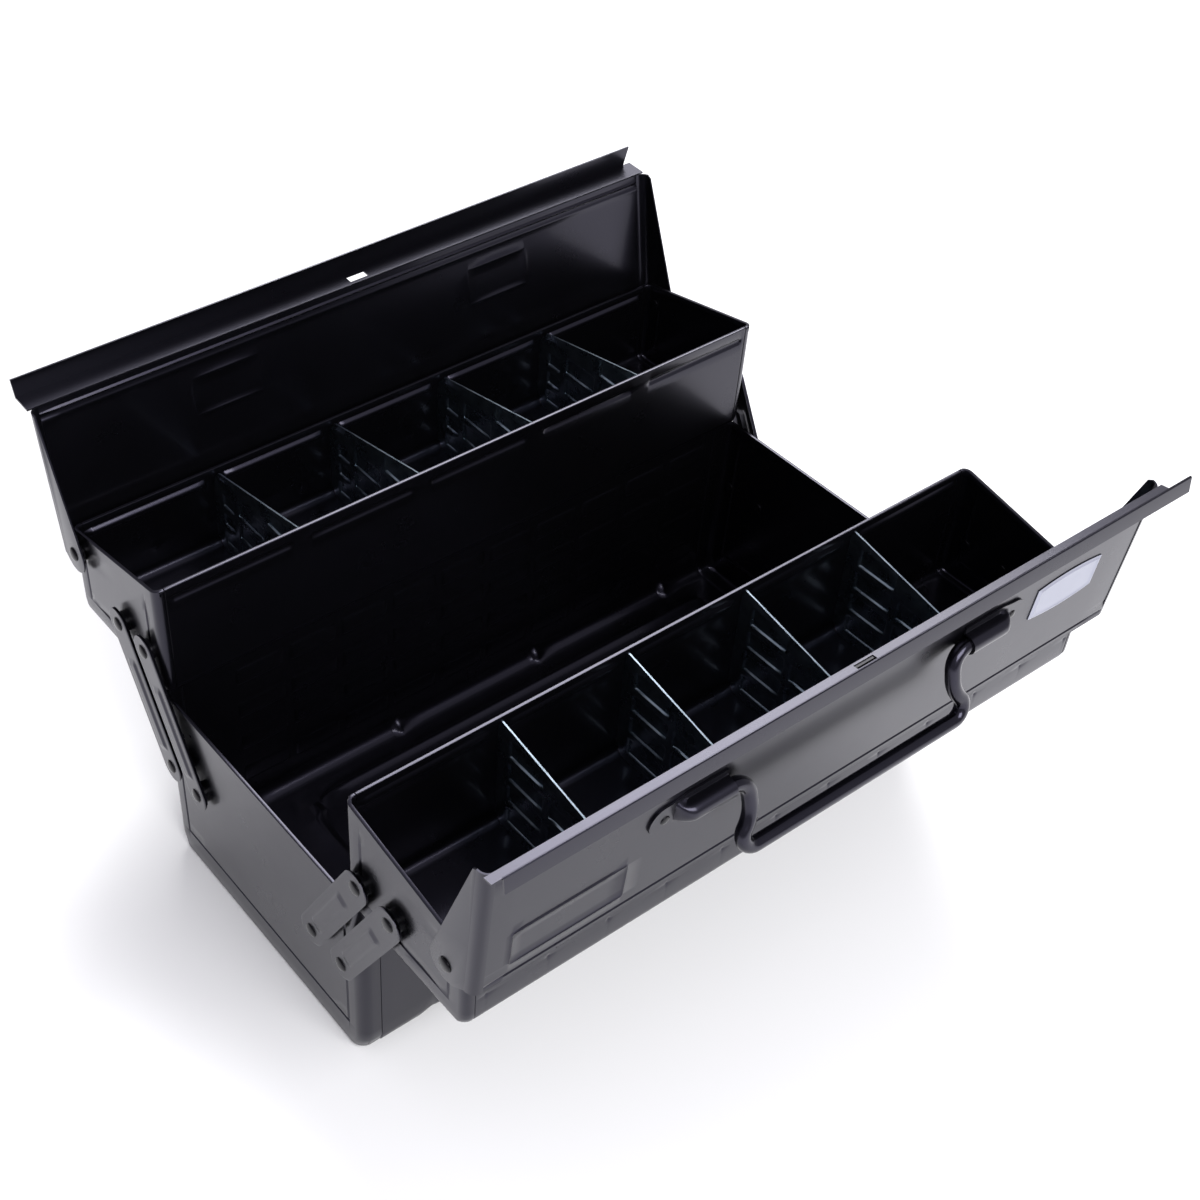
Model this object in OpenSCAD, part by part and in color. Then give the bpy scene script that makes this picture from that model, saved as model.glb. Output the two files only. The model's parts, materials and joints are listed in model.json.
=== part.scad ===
// Two-sided cantilever toolbox, pressed from sheet steel, standing open.
// Millimetres. Origin at the centre of the case's underside, X along the case,
// +Y towards the rear tray, +Z up. The rest pose is the box fully open.
// "Side" coordinates are (x, out, up): out is +Y on the rear side, -Y on the front.

/* [Case] */
// Length over the end plates
case_len = 350; // [330:5:370]
// Width over the long walls
case_w = 158; // [150:1:170]
// Height of the rim
case_h = 104; // [98:1:110]
// Sheet thickness
sheet = 0.8; // [0.6:0.1:1]
// Radius of the upright corners
case_corner_r = 6; // [5:0.5:8]
// Radius of the long bottom bends
case_bend_r = 9; // [7:0.5:12]
// Distance from each end to the seam of the end pan
case_seam = 10; // [8:1:14]

/* [Trays] */
// Width of a tray
tray_w = 78.6; // [76:0.1:80]
// Height of the wall next to the middle
tray_h_in = 62.4; // [58:0.1:64]
// Height of the outer wall
tray_h_out = 47; // [42:0.5:50]
// Radius of the upright corners
tray_corner_r = 5; // [4:0.5:6]
// Radius of the long bottom bends
tray_bend_r = 6; // [4:0.5:8]
// Distance from each end to the seam of the end pan
tray_seam = 4.6; // [4.2:0.2:8]
// Gap between the two trays when closed
tray_gap = 1.44; // [1:0.02:3]
// Gap between the case rim and a tray resting over it
tray_rest_gap = 0.3; // [0.2:0.1:1]
// Spacing of the four dividers
divider_pitch = 66.6; // [60:0.1:68]

/* [Arms] */
// Distance between an arm's two pivots
arm_len = 73; // [70:0.5:76]
// Arm width
arm_w = 16; // [14:0.5:17]
// Arm thickness
arm_t = 1.5; // [1.2:0.1:1.6]
// Lean from upright, outwards when open and inwards when closed
arm_lean = 29; // [27:0.5:30]
// Inner arm's pivot, out from the case's middle
pivot_inner = 47.6; // [46:0.1:49]
// Distance between the two arms' pivots
pivot_step = 22.4; // [21:0.1:24]
// Height of the arm pivots above a tray's bottom
tray_pivot_up = 22; // [20:0.5:24]

/* [Lids] */
// Length over the lids' cheeks
lid_len = 357.6; // [357.2:0.1:358]
// Hinge, out from the tray's inner wall
hinge_out = 71; // [70:0.1:72]
// Hinge, up from the tray's bottom
hinge_up = 37.5; // [36:0.5:39]
// Radius of a cheek round its hinge
cheek_r = 10; // [9:0.5:10.5]
// Width of the padlock slots
slot_w = 10.4; // [8:0.2:12]

/* [Handle] */
// Rod diameter
rod_d = 6.5; // [6:0.1:7]
// Height of the clips up the front panel
clip_up = 48; // [46:0.5:50]
// Angle between a lid's panel and its hanging handle
handle_stand = 20; // [16:1:24]

/* [Hidden] */
$fn = 48;

enamel = "#26262b";
zinc = "#b9bcc2";
steel = "#3a3a40";
REAR = 1;
FRONT = -1;
LEFT = -1;
RIGHT = 1;

end_x = case_len / 2;
lap_len = 8;                   // joggled strip of an end pan inside its trough
shank_r = 2;                   // every rivet's shank
pivot_clear = 0.05;            // radial clearance of a turning hole
side_play = 0.05;              // play of an arm or cheek between washer and head
arm_x0 = end_x + 2.4;          // inner face of the arms' gap
arm_x1 = arm_x0 + arm_t + 2 * side_play;
cheek_x1 = lid_len / 2;
cheek_x0 = cheek_x1 - sheet;
head_r = 3.5;
head_rim = 0.5;                // a rivet's outer head: straight rim, then a dome
head_dome = 0.7;
head_slope = 1.2;
inner_head_r = 3.3;
hinge_head_r = 2.6;
inner_head_t = 1;
spacer_r = 5;
hinge_spacer_r = 4.5;
divider_below = 1.5;           // the dividers stay this far below the rims
divider_corner = 6;
divider_foot = 8;

// A tray's place, open: out of its inner wall, up of its bottom
arm_pivot_up = case_h + tray_rest_gap + tray_pivot_up - arm_len * cos(arm_lean);
tray_out = tray_gap / 2 + 2 * arm_len * sin(arm_lean);
tray_up = case_h + tray_rest_gap;
body_pivots = [[pivot_inner, arm_pivot_up], [pivot_inner + pivot_step, arm_pivot_up]];
arm_vector = arm_len * [sin(arm_lean), cos(arm_lean)];
tray_pivots = [for (p = body_pivots) p + arm_vector];
hinge = [tray_out + hinge_out, tray_up + hinge_up];
divider_x = [for (i = [-1.5:1:1.5]) i * divider_pitch];

// Lid profiles, out and up from the hinge, at the middle of the sheet
rear_bottom = hinge + [13, -5.5];
rear_fold = hinge + [24.4, 65.9];
rear_web = rear_fold + [11, 0.4];
rear_lip = rear_web + [-0.4, 10.4];
front_bottom = hinge + [16, -3.8];
front_fold = hinge + [20.9, 70.5];
front_web = front_fold + [3.9, 0.5];
front_lip = front_web + [1.1, -7.1];
front_skirt = 3;
cheek_top = [6.5, 1.5];        // the cheek's free edge starts this far in and down from the ridge
cheek_touch_r = cheek_r - 0.15;  // its edges cross the hinge circle slightly, so no face is tangent
rear_slot = [2, 4.7];          // [distance from the fold, width] of the padlock slots
front_slot = [0.6, 2.8];
rear_lean = direction(rear_fold - rear_bottom);
front_lean = direction(front_fold - front_bottom);
rear_lip_end = 176;            // the rear lid's lip stops short at the right
strip_x = [-174, 193];

// Handle, in its own plane: out along x, down from the pivot axis
rod_lift = rod_d / 2 + 0.3 + sheet / 2;
// Half of the bent rod, from its end in a clip: [straight run, bend radius, turn in degrees, chords]
rod_steps = [[20, 8, -88, 5], [3.6, 16, -42, 3], [0, 6, 130, 7]];
rod_end = [84, 0];
half_rod = walk(rod_steps, 0, rod_end, 180);
rod_sides = 16;
rod_overlap = 2;               // the bent part runs this far into the straight ends
clip_rivet = [94.5, -1.5];
clip_x = [64.5, 88];
clip_t = 1;
clip_tip_r = 7.5;
clip_half_w = 8;
clip_shank_r = 1.25;
clip_head = [0.6, 2.2, 1.5];   // [height, base radius, top radius] of the clip rivets
badge_size = [40, 21, 0.7];
badge_edge_r = 100.5;          // the badge's long edges bulge on this radius
badge_at = [131, 41.5];

function direction(v) = atan2(v.y, v.x);
// Points along a bent rod, from step i on
function walk(steps, i, at, heading) = i == len(steps) ? [] :
    let (s = steps[i], from = at + s[0] * [cos(heading), sin(heading)],
         bend = [for (k = [1:s[3]]) from + arc_step(s[1], sign(s[2]), heading, heading + s[2] * k / s[3])])
        concat(s[0] > 0 ? [from] : [], bend, walk(steps, i + 1, bend[len(bend) - 1], heading + s[2]));
function arc_step(r, side, a, b) = side * r * [sin(b) - sin(a), cos(a) - cos(b)];
function panel_point(bottom, lean, up, lift) =
    bottom + up * [cos(lean), sin(lean)] + lift * [sin(lean), -cos(lean)];
// Where the line from p just touches the circle of radius r round the origin
function touch(p, r, turn) =
    let (a = direction(p) + turn * acos(r / norm(p))) r * [cos(a), sin(a)];

// --- general shapes ---

// Puts a drawing of (out, up) upright across the case, thick along X
module along_x(x0, x1) {
    translate([x0, 0, 0]) rotate([90, 0, 90]) linear_extrude(x1 - x0) children();
}

module on_side(side) {
    mirror([0, side == FRONT ? 1 : 0, 0]) children();
}

module at_end(end) {
    mirror([end == LEFT ? 1 : 0, 0, 0]) children();
}

// Sheet bent along a line of points
module bent_sheet(points) {
    for (i = [0:len(points) - 2])
        let (a = points[i], b = points[i + 1])
            translate(a) rotate(direction(b - a)) translate([0, -sheet / 2]) square([norm(b - a), sheet]);
    for (i = [1:1:len(points) - 2])
        translate(points[i]) circle(d = sheet);
}

// Cross-section of a trough's outside, from its inner wall outwards
module trough_outline(w, h_in, h_out, r) {
    polygon([[r, 0], [w - r, 0], [w, r], [w, h_out], [0, h_in], [0, r]]);
    translate([r, r]) circle(r);
    translate([w - r, r]) circle(r);
}

module inset_outline(w, h_in, h_out, r, inset) {
    translate([inset, inset]) trough_outline(w - 2 * inset, h_in, h_out, r - inset);
}

// Bent trough with open ends
module trough(w, h_in, h_out, r, half_len) {
    along_x(-half_len, half_len) difference() {
        trough_outline(w, h_in, h_out, r);
        inset_outline(w, h_in, h_out, r, sheet);
    }
}

// Solid block with a trough's section and upright round corners at the +X end
module pan_block(w, h_in, h_out, r, corner_r, x0, inset, end_inset) {
    x1 = end_x - end_inset;
    c = corner_r - inset;
    intersection() {
        along_x(x0, x1) inset_outline(w, h_in, h_out, r, inset);
        translate([0, 0, -1]) linear_extrude(h_in + 10) {
            translate([x0, inset]) square([x1 - c - x0, w - 2 * inset]);
            translate([x0, inset + c]) square([x1 - x0, w - 2 * (inset + c)]);
            for (y = [inset + c, w - inset - c])
                translate([x1 - c, y]) circle(c);
        }
    }
}

// Pressed end pan: end plate, round corners and a joggled strip inside the trough
module end_pan(w, h_in, h_out, r, corner_r, seam) {
    seam_x = end_x - seam;
    difference() {
        pan_block(w, h_in, h_out, r, corner_r, seam_x, 0, 0);
        pan_block(w, h_in, h_out, r, corner_r, seam_x - 1, sheet, sheet);
    }
    difference() {
        intersection() {
            pan_block(w, h_in, h_out, r, corner_r, seam_x - lap_len, sheet, sheet);
            along_x(0, end_x) trough_outline(w, h_in, h_out, r);
        }
        pan_block(w, h_in + 10, h_out + 10, r, corner_r, seam_x - lap_len - 1, 2 * sheet, sheet);
    }
}

module hole_x(at, r) {
    along_x(end_x - 4, end_x + 8) translate(at) circle(r);
}

// Domed rivet along X at the +X end, with a flat inner head
module rivet(at, inner_r) {
    along_x(end_x - sheet - inner_head_t, end_x - sheet) translate(at) circle(inner_r);
    along_x(end_x - sheet, arm_x1) translate(at) circle(shank_r);
    translate([arm_x1, at.x, at.y]) rotate([0, 90, 0]) cylinder(h = head_rim, r = head_r);
    translate([arm_x1 + head_rim, at.x, at.y]) rotate([0, 90, 0])
        cylinder(h = head_dome, r1 = head_r, r2 = head_r - head_slope);
}

module spacer(at, top_x, r) {
    along_x(end_x, top_x) translate(at) difference() {
        circle(r);
        circle(shank_r);
    }
}

// --- case ---

module body_trough() {
    color(enamel) translate([0, -case_w / 2, 0])
        trough(case_w, case_h, case_h, case_bend_r, end_x - case_seam);
}

module body_end(end) {
    color(enamel) at_end(end) difference() {
        translate([0, -case_w / 2, 0])
            end_pan(case_w, case_h, case_h, case_bend_r, case_corner_r, case_seam);
        for (p = body_pivots, side = [REAR, FRONT])
            on_side(side) hole_x(p, shank_r);
    }
}

module body_arm_rivets() {
    color(steel) for (end = [LEFT, RIGHT], side = [REAR, FRONT], p = body_pivots)
        at_end(end) on_side(side) rivet(p, inner_head_r);
}

module body_spacers() {
    color(steel) for (end = [LEFT, RIGHT], side = [REAR, FRONT], p = body_pivots)
        at_end(end) on_side(side) spacer(p, arm_x0, spacer_r);
}

// --- arms ---

// index 0 is the inner arm, 1 the outer
module arm(side, end, index) {
    low = body_pivots[index];
    color(enamel) on_side(side) at_end(end) along_x(arm_x0 + side_play, arm_x0 + side_play + arm_t)
        difference() {
            union() {
                translate(low) rotate(-arm_lean) translate([-arm_w / 2, 0]) square([arm_w, arm_len]);
                for (p = [low, low + arm_vector])
                    translate(p) circle(d = arm_w);
            }
            for (p = [low, low + arm_vector])
                translate(p) circle(shank_r + pivot_clear);
        }
}

// --- trays ---

module tray_place(side) {
    on_side(side) translate([0, tray_out, tray_up]) children();
}

module tray_trough(side) {
    color(enamel) tray_place(side)
        trough(tray_w, tray_h_in, tray_h_out, tray_bend_r, end_x - tray_seam);
}

module tray_end(side, end) {
    color(enamel) difference() {
        tray_place(side) at_end(end)
            end_pan(tray_w, tray_h_in, tray_h_out, tray_bend_r, tray_corner_r, tray_seam);
        on_side(side) at_end(end) for (p = concat(tray_pivots, [hinge]))
            hole_x(p, shank_r);
    }
}

// Zinc-plated divider with a foot bent along the floor and a round outer corner
module divider(side, index) {
    x = divider_x[index];
    slope = (tray_h_in - tray_h_out) / tray_w;
    color(zinc) tray_place(side) {
        along_x(x - sheet / 2, x + sheet / 2) difference() {
            inset_outline(tray_w, tray_h_in - divider_below - sheet * (1 + slope),
                          tray_h_out - divider_below - sheet * (1 - slope), tray_bend_r, sheet);
            translate([tray_w - sheet - divider_corner,
                       tray_h_out - divider_below - divider_corner * (1 - slope)]) difference() {
                square(divider_corner + 1);
                circle(divider_corner);
            }
        }
        translate([x + sheet / 2, tray_bend_r, sheet])
            cube([divider_foot, tray_w - 2 * tray_bend_r, sheet]);
    }
}

module tray_rivets(side) {
    color(steel) for (end = [LEFT, RIGHT], p = tray_pivots)
        at_end(end) on_side(side) rivet(p, inner_head_r);
}

module tray_spacers(side) {
    color(steel) for (end = [LEFT, RIGHT]) at_end(end) on_side(side) {
        for (p = tray_pivots)
            spacer(p, arm_x0, spacer_r);
        spacer(hinge, cheek_x0 - side_play, hinge_spacer_r);
    }
}

module hinge_rivets(side) {
    color(steel) for (end = [LEFT, RIGHT])
        at_end(end) on_side(side) rivet(hinge, hinge_head_r);
}

// --- lids ---

// Side wall of a lid, tapering from the ridge to the hinge
module cheek(bottom, ridge) {
    free = ridge - cheek_top;
    along_x(cheek_x0, cheek_x1) translate(hinge) difference() {
        union() {
            circle(cheek_r);
            polygon([bottom - hinge, ridge - hinge, free - hinge, touch(free - hinge, cheek_touch_r, 1),
                     [0, 0], touch(bottom - hinge, cheek_touch_r, -1)]);
        }
        circle(shank_r + pivot_clear);
    }
}

module slot_cut(fold, web, slot) {
    run = direction(web - fold);
    translate([0, fold.x, fold.y]) rotate([run, 0, 0])
        translate([-slot_w / 2, slot[0], -2]) cube([slot_w, slot[1], 4]);
}

module rear_lid() {
    color(enamel) {
        difference() {
            along_x(-cheek_x1, cheek_x1) bent_sheet([rear_bottom, rear_fold, rear_web, rear_lip]);
            slot_cut(rear_fold, rear_web, rear_slot);
            translate([rear_lip_end, rear_web.x - 3, rear_web.y + sheet]) cube([10, 6, 15]);
        }
        for (end = [LEFT, RIGHT])
            at_end(end) cheek(rear_bottom, rear_fold);
    }
}

module front_lid() {
    skirt = front_bottom + front_skirt * [-sin(front_lean), cos(front_lean)];
    color(enamel) on_side(FRONT) {
        difference() {
            along_x(-cheek_x1, cheek_x1)
                bent_sheet([skirt, front_bottom, front_fold, front_web - [sheet / 2, 0]]);
            slot_cut(front_fold, front_web, front_slot);
        }
        for (end = [LEFT, RIGHT])
            at_end(end) cheek(front_bottom, front_fold);
    }
}

module front_lid_edge_strip() {
    color(enamel) on_side(FRONT) along_x(strip_x[0], strip_x[1]) bent_sheet([front_web, front_lip]);
}

function panel_bottom(side) = side == FRONT ? front_bottom : rear_bottom;
function panel_lean(side) = side == FRONT ? front_lean : rear_lean;

// Draws on a lid's outer face: x along the lid, y up the panel, z outwards
module on_panel(side) {
    bottom = panel_bottom(side);
    on_side(side) translate([0, bottom.x, bottom.y]) rotate([panel_lean(side), 0, 0])
        mirror([0, 0, 1]) translate([0, 0, sheet / 2]) children();
}

// --- handle and trim ---

module clip_outline() {
    reach = clip_x[0];
    hull() {
        translate(clip_rivet) circle(clip_tip_r);
        translate([clip_x[1], -0.5]) circle(clip_half_w);
    }
    translate([reach, -clip_half_w]) square([clip_x[1] - reach, 2 * clip_half_w - 0.5]);
}

module handle_clip(side, end) {
    tunnel_r = rod_d / 2 + 0.08;
    color(enamel) on_panel(side) translate([0, clip_up, 0]) at_end(end) difference() {
        union() {
            linear_extrude(clip_t) clip_outline();
            translate([clip_x[0], 0, rod_lift - sheet / 2]) rotate([0, 90, 0])
                cylinder(h = clip_x[1] - clip_x[0], r = tunnel_r + clip_t);
            translate([clip_x[0], -tunnel_r - clip_t, 0])
                cube([clip_x[1] - clip_x[0], 2 * (tunnel_r + clip_t), rod_lift - sheet / 2]);
        }
        translate([clip_x[0] - 1, 0, rod_lift - sheet / 2]) rotate([0, 90, 0])
            cylinder(h = clip_x[1] - clip_x[0] - 1, r = tunnel_r);
        translate([clip_x[0] - 1, -tunnel_r, -1])
            cube([clip_x[1] - clip_x[0] - 1, 2 * tunnel_r, rod_lift - sheet / 2 + 1]);
        translate([clip_rivet.x, clip_rivet.y, -1]) cylinder(h = clip_t + 2, r = clip_shank_r);
        translate([0, 0, -10]) cube([200, 60, 20], center = true);
    }
}

module clip_rivets(side) {
    color(steel) on_panel(side) for (end = [LEFT, RIGHT])
        translate([0, clip_up, 0]) at_end(end) translate([clip_rivet.x, clip_rivet.y, 0]) {
            cylinder(h = clip_t, r = clip_shank_r);
            translate([0, 0, clip_t]) cylinder(h = clip_head[0], r1 = clip_head[1], r2 = clip_head[2]);
        }
}

module badge_plate() {
    drop = badge_edge_r - badge_size.y / 2;
    color(zinc) on_panel(FRONT) translate([badge_at.x, badge_at.y, 0])
        linear_extrude(badge_size.z) intersection() {
            square([badge_size.x, badge_size.y], center = true);
            for (way = [-1, 1])
                translate([0, way * drop]) circle(badge_edge_r, $fn = 96);
        }
}

// Tube of flat facets along points in the plane z = 0
module swept_rod(path, r, sides) {
    n = len(path);
    points = [for (i = [0:n - 1], k = [0:sides - 1])
        let (t = path[min(i + 1, n - 1)] - path[max(i - 1, 0)], q = t / norm(t), a = 360 * k / sides)
            [path[i].x - r * cos(a) * q.y, path[i].y + r * cos(a) * q.x, r * sin(a)]];
    walls = [for (i = [0:n - 2], k = [0:sides - 1])
        let (a = i * sides + k, b = i * sides + (k + 1) % sides)
            each [[a, a + sides, b + sides], [a, b + sides, b]]];
    first = [for (k = [0:sides - 1]) k];
    last = [for (k = [sides - 1:-1:0]) (n - 1) * sides + k];
    polyhedron(points, concat([first, last], walls));
}

module handle(side) {
    pivot = panel_point(panel_bottom(side), panel_lean(side), clip_up, rod_lift);
    hang = panel_lean(side) + handle_stand - 180;
    straight_end = half_rod[0];
    n = len(half_rod);
    path = concat(
        [straight_end + [rod_overlap, 0]],
        half_rod,
        [for (i = [n - 1:-1:0]) [-half_rod[i].x, half_rod[i].y]],
        [[-straight_end.x - rod_overlap, 0]]
    );
    color(enamel) on_side(side) translate([0, pivot.x, pivot.y]) rotate([hang, 0, 0]) {
        for (end = [LEFT, RIGHT])
            at_end(end) translate([straight_end.x, 0, 0]) rotate([0, 90, 0])
                cylinder(h = rod_end.x - straight_end.x, d = rod_d);
        swept_rod(path, rod_d / 2 - 0.02, rod_sides);
    }
}

body_trough();
body_end(LEFT);  // body_left_end
body_end(RIGHT);  // body_right_end
body_arm_rivets();
body_spacers();
arm(REAR, LEFT, 0);  // rear_inner_arm_left
arm(REAR, RIGHT, 0);  // rear_inner_arm_right
arm(REAR, LEFT, 1);  // rear_outer_arm_left
arm(REAR, RIGHT, 1);  // rear_outer_arm_right
arm(FRONT, LEFT, 0);  // front_inner_arm_left
arm(FRONT, RIGHT, 0);  // front_inner_arm_right
arm(FRONT, LEFT, 1);  // front_outer_arm_left
arm(FRONT, RIGHT, 1);  // front_outer_arm_right
tray_trough(REAR);  // rear_tray_trough
tray_end(REAR, LEFT);  // rear_tray_left_end
tray_end(REAR, RIGHT);  // rear_tray_right_end
divider(REAR, 0);  // rear_divider_1
divider(REAR, 1);  // rear_divider_2
divider(REAR, 2);  // rear_divider_3
divider(REAR, 3);  // rear_divider_4
tray_rivets(REAR);  // rear_tray_rivets
tray_spacers(REAR);  // rear_tray_spacers
hinge_rivets(REAR);  // rear_hinge_rivets
tray_trough(FRONT);  // front_tray_trough
tray_end(FRONT, LEFT);  // front_tray_left_end
tray_end(FRONT, RIGHT);  // front_tray_right_end
divider(FRONT, 0);  // front_divider_1
divider(FRONT, 1);  // front_divider_2
divider(FRONT, 2);  // front_divider_3
divider(FRONT, 3);  // front_divider_4
tray_rivets(FRONT);  // front_tray_rivets
tray_spacers(FRONT);  // front_tray_spacers
hinge_rivets(FRONT);  // front_hinge_rivets
rear_lid();
handle_clip(REAR, LEFT);  // rear_clip_left
handle_clip(REAR, RIGHT);  // rear_clip_right
clip_rivets(REAR);  // rear_clip_rivets
handle(REAR);  // rear_handle
front_lid();
front_lid_edge_strip();
handle_clip(FRONT, LEFT);  // front_clip_left
handle_clip(FRONT, RIGHT);  // front_clip_right
clip_rivets(FRONT);  // front_clip_rivets
badge_plate();
handle(FRONT);  // front_handle
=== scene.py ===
# %% [markdown]
# A two-sided cantilever toolbox in gloss black enamel, standing open.
# Every sheet part here is a surface worked out with numpy on a grid, pressed with grooves and
# beads by height functions, and then given the thickness of its sheet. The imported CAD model
# says where each part goes, so the script starts by loading it.

# %% Load the frame
import json
import math

import bpy
import numpy as np
from mathutils import Matrix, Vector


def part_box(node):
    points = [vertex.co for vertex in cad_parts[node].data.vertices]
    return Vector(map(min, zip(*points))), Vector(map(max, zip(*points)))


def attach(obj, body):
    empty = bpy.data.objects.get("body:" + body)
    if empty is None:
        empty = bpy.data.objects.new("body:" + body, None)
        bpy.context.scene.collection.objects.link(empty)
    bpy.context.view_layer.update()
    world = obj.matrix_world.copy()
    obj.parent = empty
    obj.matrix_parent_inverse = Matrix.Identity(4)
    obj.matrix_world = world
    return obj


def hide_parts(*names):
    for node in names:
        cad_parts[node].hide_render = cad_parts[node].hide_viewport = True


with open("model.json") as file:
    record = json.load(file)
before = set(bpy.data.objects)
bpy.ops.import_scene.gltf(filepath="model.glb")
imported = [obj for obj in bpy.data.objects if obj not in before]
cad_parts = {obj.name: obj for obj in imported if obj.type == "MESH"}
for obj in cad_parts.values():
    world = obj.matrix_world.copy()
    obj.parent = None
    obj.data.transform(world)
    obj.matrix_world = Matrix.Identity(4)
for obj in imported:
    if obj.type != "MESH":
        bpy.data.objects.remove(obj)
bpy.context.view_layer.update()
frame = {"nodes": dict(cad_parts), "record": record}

# %% [markdown]
# Lengths are in millimetres until a mesh is made. The driving sizes come from the frame's own
# boxes: the case's trough and end pans, the trays, the hinges of the joints.

# %% Sizes taken from the frame
MM = 0.001
SHEET = 0.8
REAR, FRONT = 1, -1
LEFT, RIGHT = -1, 1


def box_mm(node):
    """The lowest and highest corner of a CAD node in millimetres."""
    low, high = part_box(node)
    return np.array(low) / MM, np.array(high) / MM


def joint_mm(name):
    """Where a joint's axis crosses the plane x = 0: (distance out from the middle, height)."""
    joint = next(j for j in frame["record"]["behaviour"]["joints"] if j["name"] == name)
    return np.array([abs(joint["pos_m"][1]), joint["pos_m"][2]]) / MM


CASE_HALF, CASE_H = box_mm("body_trough")[1][1:]
END_X = box_mm("body_right_end")[1][0]
tray_low, tray_high = box_mm("rear_tray_trough")
TRAY_OUT, TRAY_UP = tray_low[1], tray_low[2]
TRAY_W = tray_high[1] - tray_low[1]
TRAY_H_IN = tray_high[2] - tray_low[2]
TRAY_H_OUT = 47.0
HINGE = joint_mm("rear_lid_hinge")
ARM_LOW = [joint_mm("rear_swing"), joint_mm("rear_outer_swing")]
ARM_HIGH = joint_mm("rear_tray_level")
ARM_VECTOR = ARM_HIGH - ARM_LOW[0]
CHEEK_X = box_mm("rear_lid")[1][0]
print("tray", TRAY_OUT, TRAY_UP, TRAY_W, TRAY_H_IN, "hinge", HINGE, "end", END_X)

# %% [markdown]
# A pressed line or bead is a height added along the surface's own direction. Three shapes of
# height cover the whole box: a soft step, a round bead and the distance to a rounded rectangle.

# %% Height functions
def soft_step(x, start, end):
    """0 before start, 1 after end, and between them 3q^2 - 2q^3 of the fraction q of the way."""
    q = np.clip((x - start) / (end - start), 0, 1)
    return q * q * (3 - 2 * q)


def bead(distance, half_width):
    """Half of (1 + cos(pi d / w)) within the half width w of the line d = 0, and 0 outside it."""
    return 0.5 * (1 + np.cos(np.pi * np.clip(distance / half_width, -1, 1)))


def round_rect(a, b, centre, half, radius):
    """Signed distance to a rounded rectangle: the length of the part of |p| - half + r past 0, minus r."""
    qa = np.abs(a - centre[0]) - half[0] + radius
    qb = np.abs(b - centre[1]) - half[1] + radius
    outside = np.hypot(np.maximum(qa, 0), np.maximum(qb, 0))
    return outside + np.minimum(np.maximum(qa, qb), 0) - radius


def grid_lines(low, high, step, edges=(), spread=1.0):
    """Even lines a step apart, with five closer ones round each edge so that a press mark stays crisp."""
    even = np.linspace(low, high, max(2, int(round((high - low) / step)) + 1))
    near = np.add.outer(np.asarray(edges, float), spread * np.array([-1.0, -0.5, 0, 0.5, 1.0])).ravel()
    lines = np.unique(np.round(np.concatenate([even, near[(near > low) & (near < high)]]), 6))
    closest = 0.12 * spread
    keep = np.concatenate([[True], (np.diff(lines) > closest)[:-1] & (high - lines[1:-1] > closest), [True]])
    return lines[keep]


# %% [markdown]
# A sheet part is one outer surface on a grid. Its inner face is the same grid moved back along
# the surface's normals by the sheet's thickness, and four strips close the edges. That makes a
# closed solid with its faces outwards, whichever side of the box it stands on.

# %% Meshes from grids
def grid_faces(nu, nv, start=0):
    """Four corners for each cell of an nu by nv grid of points."""
    i = np.arange(nu - 1)[:, None] * nv + np.arange(nv - 1)[None, :] + start
    return np.stack([i, i + nv, i + nv + 1, i + 1], axis=-1).reshape(-1, 4)


def grid_normals(points):
    """The cross product of the two directions along the grid, made unit length."""
    du = np.gradient(points, axis=0)
    dv = np.gradient(points, axis=1)
    normal = np.cross(du, dv)
    return normal / np.maximum(np.linalg.norm(normal, axis=-1, keepdims=True), 1e-9)


def sheet_solid(points, thickness=SHEET):
    """Vertices and faces of a grid surface with a wall: the inner face lies thickness against the normals."""
    nu, nv, _ = points.shape
    inner = points - thickness * grid_normals(points)
    vertices = np.concatenate([points.reshape(-1, 3), inner.reshape(-1, 3)])
    n = nu * nv
    top = grid_faces(nu, nv)
    bottom = grid_faces(nu, nv, n)[:, ::-1]
    index = np.arange(n).reshape(nu, nv)
    loop = np.concatenate([index[:-1, 0], index[-1, :-1], index[:0:-1, -1], index[0, :0:-1]])
    following = np.roll(loop, -1)
    rim = np.stack([following, loop, loop + n, following + n], axis=-1)
    return vertices, [top, bottom, rim]


def ring_solid(rings):
    """Closed solid through rings of points: quads from ring to ring, and one flat cap at each end."""
    count, turns, _ = rings.shape
    index = np.arange(count * turns).reshape(count, turns)
    following = np.roll(index, -1, axis=1)
    sides = np.stack([index[:-1], following[:-1], following[1:], index[1:]], -1).reshape(-1, 4)
    return rings.reshape(-1, 3), [sides, index[:1, ::-1], index[-1:]]


def signed_volume(vertices, faces):
    """One sixth of the sum of a . (b x c) over the triangles: positive when the faces point outwards."""
    total = 0.0
    for group in faces:
        for k in range(1, group.shape[1] - 1):
            a, b, c = vertices[group[:, 0]], vertices[group[:, k]], vertices[group[:, k + 1]]
            total += np.einsum("ij,ij->i", a, np.cross(b, c)).sum() / 6
    return total


def join(parts):
    """One list of vertices and faces from several (vertices, faces), each turned to face outwards."""
    all_vertices, all_faces, start = [], [], 0
    for vertices, faces in parts:
        way = 1 if signed_volume(vertices, faces) > 0 else -1
        all_vertices.append(vertices)
        all_faces += [group[:, ::way] + start for group in faces]
        start += len(vertices)
    return all_vertices, all_faces


SMOOTH_ANGLE = math.radians(35)


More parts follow.
